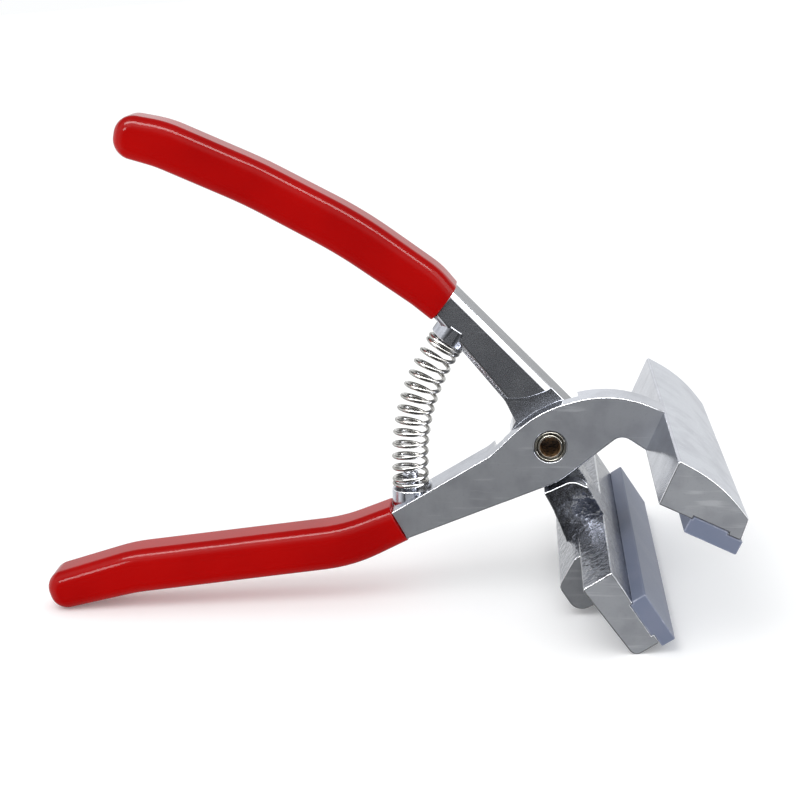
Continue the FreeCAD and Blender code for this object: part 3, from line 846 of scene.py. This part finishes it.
@dataclass
class ReturnSpring:
    """The return spring, wound along an axis that rises straight and then bows."""

    turns: float = 15.0
    closed_turns: float = 1.5
    coil_radius: float = 5.37 * MM
    wire_radius: float = 0.68 * MM
    straight: float = 10 * MM
    bend_radius: float = 68 * MM
    bend: float = math.radians(35.5)
    end_gap: float = 0.12 * MM
    foot: tuple[float, float] = (-45.2 * MM, -16.6 * MM)
    close_pitch: float = 1.43 * MM
    points_a_turn: int = 36
    wire_sides: int = 14

    def open_pitch(self) -> float:
        """Works out how far the open coils are apart."""
        axis = self.straight + self.bend_radius * self.bend
        closed = 2 * self.closed_turns * self.close_pitch
        ends = 2 * (self.wire_radius + self.end_gap)
        return (axis - ends - closed) / (self.turns - 2 * self.closed_turns)

    def sizes(self) -> dict[str, float]:
        """Gives the named inputs of the winding."""
        return {
            "Turns": self.turns,
            "Closed Turns": self.closed_turns,
            "Coil Radius": self.coil_radius,
            "Wire Radius": self.wire_radius,
            "Straight": self.straight,
            "Bend Radius": self.bend_radius,
            "Close Pitch": self.close_pitch,
            "Open Pitch": self.open_pitch(),
            "End Gap": self.end_gap,
            "Foot Across": self.foot[0],
            "Foot Up": self.foot[1],
        }

    def winding(self, finish: bpy.types.Material) -> bpy.types.NodeTree:
        """Builds the geometry nodes that wind the wire.

        Args:
            finish: the wire's material.

        Returns:
            The node tree.
        """
        tree = bpy.data.node_groups.new("spring_winding", "GeometryNodeTree")
        for name in self.sizes():
            tree.interface.new_socket(name, in_out="INPUT", socket_type="NodeSocketFloat")
        tree.interface.new_socket("Geometry", in_out="OUTPUT", socket_type="NodeSocketGeometry")
        graph = Graph(tree)
        given = graph.node("NodeGroupInput")
        turns, closed, wire = given["Turns"], given["Closed Turns"], given["Wire Radius"]

        count = graph.maths("CEIL", turns * self.points_a_turn) + 1
        line = graph.node("GeometryNodeCurvePrimitiveLine")["Curve"]
        path = graph.node("GeometryNodeResampleCurve", values={"Curve": line, "Count": count})["Curve"]
        turn = graph.node("GeometryNodeInputIndex")["Index"] / (count - 1) * turns

        low = graph.maths("MINIMUM", turn, closed)
        high = graph.maths("MAXIMUM", turn - (turns - closed), 0.0)
        travel = wire + given["End Gap"] + (low + high) * given["Close Pitch"]
        travel = travel + (turn - low - high) * given["Open Pitch"]

        rise = graph.maths("MINIMUM", travel, given["Straight"])
        lean = graph.maths("MAXIMUM", travel - given["Straight"], 0.0) / given["Bend Radius"]
        lean_sine, lean_cosine = graph.maths("SINE", lean), graph.maths("COSINE", lean)
        angle = turn * (2 * math.pi)
        out = given["Coil Radius"] * graph.maths("COSINE", angle)
        aside = given["Coil Radius"] * graph.maths("SINE", angle)
        across = given["Foot Across"] + given["Bend Radius"] * (1.0 - lean_cosine) + out * lean_cosine
        up = given["Foot Up"] + rise + given["Bend Radius"] * lean_sine - out * lean_sine

        place = graph.node("ShaderNodeCombineXYZ", values={"X": across, "Y": aside, "Z": up})["Vector"]
        moved = graph.node("GeometryNodeSetPosition", values={"Geometry": path, "Position": place})
        circle = {"Resolution": self.wire_sides, "Radius": wire}
        section = graph.node("GeometryNodeCurvePrimitiveCircle", values=circle)["Curve"]
        tube = {"Curve": moved["Geometry"], "Profile Curve": section, "Fill Caps": True}
        wound = graph.node("GeometryNodeCurveToMesh", values=tube)["Mesh"]
        smooth = graph.node("GeometryNodeSetShadeSmooth", values={"Geometry": wound})["Geometry"]
        whole = graph.node("GeometryNodeRealizeInstances", values={"Geometry": smooth})["Geometry"]
        dressed = graph.node("GeometryNodeSetMaterial", values={"Geometry": whole, "Material": finish})
        graph.node("NodeGroupOutput", values={"Geometry": dressed["Geometry"]})
        return tree

    def build(self, finish: bpy.types.Material) -> bpy.types.Object:
        """Makes the spring.

        Args:
            finish: the wire's material.

        Returns:
            The piece, bowed between the two bodies.
        """
        draft = bpy.data.objects.new("spring_draft", bpy.data.meshes.new("spring_draft"))
        bpy.context.scene.collection.objects.link(draft)
        winder = draft.modifiers.new("winding", "NODES")
        winder.node_group = self.winding(finish)
        for item in winder.node_group.interface.items_tree:
            if item.in_out == "INPUT":
                winder[item.identifier] = self.sizes()[item.name]
        mesh = settled_mesh(draft)
        bpy.data.objects.remove(draft)
        piece = place_piece("return_spring_wire", mesh, finish)
        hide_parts("return_spring")
        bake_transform(piece)
        return piece


@dataclass(frozen=True)
class Softbox:
    """One soft rectangular light: its size in metres and its power in watts."""

    name: str
    place: tuple[float, float, float]
    size: tuple[float, float]
    power: float
    mirrored: bool


SOFTBOXES = (
    Softbox("key", (-0.35, -0.35, 0.80), (0.6, 0.6), 1.6, mirrored=False),
    Softbox("strip", (-0.05, -0.17, 0.65), (1.1, 0.16), 8.0, mirrored=True),
    Softbox("right", (0.69, -0.20, 0.52), (0.5, 0.5), 2.0, mirrored=True),
    Softbox("window", (-0.75, -0.75, 0.55), (0.22, 0.22), 1.8, mirrored=True),
)


@dataclass
class Studio:
    """The floor, the lights and the camera."""

    floor_size: float = 24.0
    floor_colour: Colour = (0.94, 0.94, 0.94)
    floor_glow: float = 0.14
    air: Colour = (0.985, 0.995, 1.0)
    dark_side: tuple[float, float, float] = (-0.08, -0.96, -0.27)
    front_dimming: float = 0.93
    above_dimming: float = 0.82
    under_dimming: float = 0.75
    patch_size: float = 0.55
    lens_near: float = 0.01
    camera_place: tuple[float, float, float] = (-9.19 * MM, -496.0 * MM, 152.33 * MM)
    camera_aim: tuple[float, float, float] = (-0.0755, 0.95994, -0.26983)
    camera_roll: float = math.radians(-1.216)
    middle: tuple[float, float, float] = (-50 * MM, 0.0, 0.0)
    lens: float = 72.0
    sensor: float = 36.0

    def resting_line(self) -> tuple[float, float]:
        """Finds the level line that carries the pliers.

        Returns:
            The height of the floor at x = 0 and its slope along X, where the lower grip and
            the lower jaw both touch it.
        """
        spots = [vertex.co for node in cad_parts.values() for vertex in node.data.vertices]
        handle = [spot for spot in spots if spot.x < 0]
        jaw = [spot for spot in spots if spot.x > 0]
        slope = 0.0
        for _ in range(8):
            under_handle = min(handle, key=lambda spot: spot.z - slope * spot.x)
            under_jaw = min(jaw, key=lambda spot: spot.z - slope * spot.x)
            slope = (under_jaw.z - under_handle.z) / (under_jaw.x - under_handle.x)
        return under_jaw.z - slope * under_jaw.x, slope

    def lay_floor(self) -> bpy.types.Object:
        """Lays the pale floor under the pliers.

        Returns:
            The floor.
        """
        height, slope = self.resting_line()
        half = self.floor_size / 2
        shape = bmesh.new()
        square = [(-half, -half), (half, -half), (half, half), (-half, half)]
        ring = [shape.verts.new((x, y, height + slope * x)) for x, y in square]
        shape.faces.new(ring)
        mesh = bpy.data.meshes.new("floor")
        shape.to_mesh(mesh)
        shape.free()
        paper = {"Base Color": self.floor_colour, "Roughness": 0.9, "Specular IOR Level": 0.0}
        paper |= {"Emission Color": self.floor_colour, "Emission Strength": self.floor_glow}
        material, _, _ = surface("pale_floor", paper)
        floor = place_piece("floor", mesh, material)
        floor.visible_glossy = False
        return floor

    def light_room(self) -> None:
        """Lights the room evenly, and gives bright metal a room to mirror.

        What the metal mirrors is pale behind and at the sides, dark in front, and dim under
        the pliers and above the paper behind.
        """
        world = bpy.data.worlds.new("room")
        world.use_nodes = True
        world.node_tree.nodes.clear()
        graph = Graph(world.node_tree)
        way = graph.node("ShaderNodeTexCoord")["Generated"]
        parts = graph.node("ShaderNodeSeparateXYZ", values={"Vector": way})
        aim = {0: way, 1: self.dark_side}
        facing = graph.node("ShaderNodeVectorMath", {"operation": "DOT_PRODUCT"}, aim)["Value"]
        lofty = parts["Z"].ramp(0.30, 0.55) * parts["Y"].ramp(-0.15, 0.40)
        under = (parts["Z"] * -1.0).ramp(0.40, 0.75)
        patches = graph.noise(way, self.patch_size, 1.0).ramp(0.40, 0.62)
        mirrored = (1.0 - facing.ramp(0.45, 0.92) * self.front_dimming) * (1.0 - lofty * self.above_dimming)
        mirrored = mirrored * (1.0 - under * self.under_dimming) * (0.80 + patches * 0.35)
        glossy = graph.node("ShaderNodeLightPath")["Is Glossy Ray"]
        level = mirrored * glossy + (1.0 - glossy)
        light = graph.node("ShaderNodeBackground", values={"Color": self.air, "Strength": level})
        graph.node("ShaderNodeOutputWorld", values={"Surface": light["Background"]})
        bpy.context.scene.world = world

    def hang_softbox(self, box: Softbox) -> None:
        """Hangs a light, pointed at the pliers. Only bright surfaces see a mirrored one."""
        lamp = bpy.data.lights.new(box.name, "AREA")
        lamp.shape = "RECTANGLE"
        lamp.size, lamp.size_y = box.size
        lamp.energy = box.power
        holder = bpy.data.objects.new(box.name, lamp)
        place = Vector(box.place)
        holder.location = place
        holder.rotation_euler = (Vector(self.middle) - place).to_track_quat("-Z", "Y").to_euler()
        holder.visible_diffuse = not box.mirrored
        bpy.context.scene.collection.objects.link(holder)

    def set_camera(self) -> None:
        """Puts the camera a little above the pliers, looking slightly down at their side."""
        lens = bpy.data.cameras.new("camera")
        lens.lens = self.lens
        lens.sensor_width = self.sensor
        lens.clip_start = self.lens_near
        holder = bpy.data.objects.new("camera", lens)
        turn = Vector(self.camera_aim).to_track_quat("-Z", "Y").to_matrix()
        turn = turn @ Matrix.Rotation(self.camera_roll, 3, "Z")
        holder.matrix_world = Matrix.Translation(self.camera_place) @ turn.to_4x4()
        bpy.context.scene.collection.objects.link(holder)
        bpy.context.scene.camera = holder

    def build(self) -> None:
        """Sets the whole studio up."""
        self.set_camera()
        self.lay_floor()
        self.light_room()
        for box in SOFTBOXES:
            self.hang_softbox(box)
        bpy.context.scene.view_settings.view_transform = "Standard"


def main() -> None:
    """Builds the studio and every piece."""
    logging.basicConfig(level=logging.INFO, format="%(name)s: %(message)s")
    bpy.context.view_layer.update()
    Studio().build()
    cast, pad, dip = CastFinish().material(), PadFinish().material(), DipFinish().material()
    steel, wire = TurnedFinish().material(), WireFinish().material()
    pieces = [
        FrontCasting().build(cast),
        RearCasting().build(cast),
        JawPad("upper_pad_block", "upper_pad", "front_body").build(pad),
        JawPad("lower_pad_block", "lower_pad", "rear_body").build(pad),
        Grip("lower_grip_dip", "lower_grip", "front_body").build(dip),
        Grip("upper_grip_dip", "upper_grip", "rear_body").build(dip),
        *Pivot().build(steel),
        ReturnSpring().build(wire),
    ]
    for piece in pieces:
        log.info("%s has %d faces", piece.name, len(piece.data.polygons))


if __name__ == "__main__":
    main()
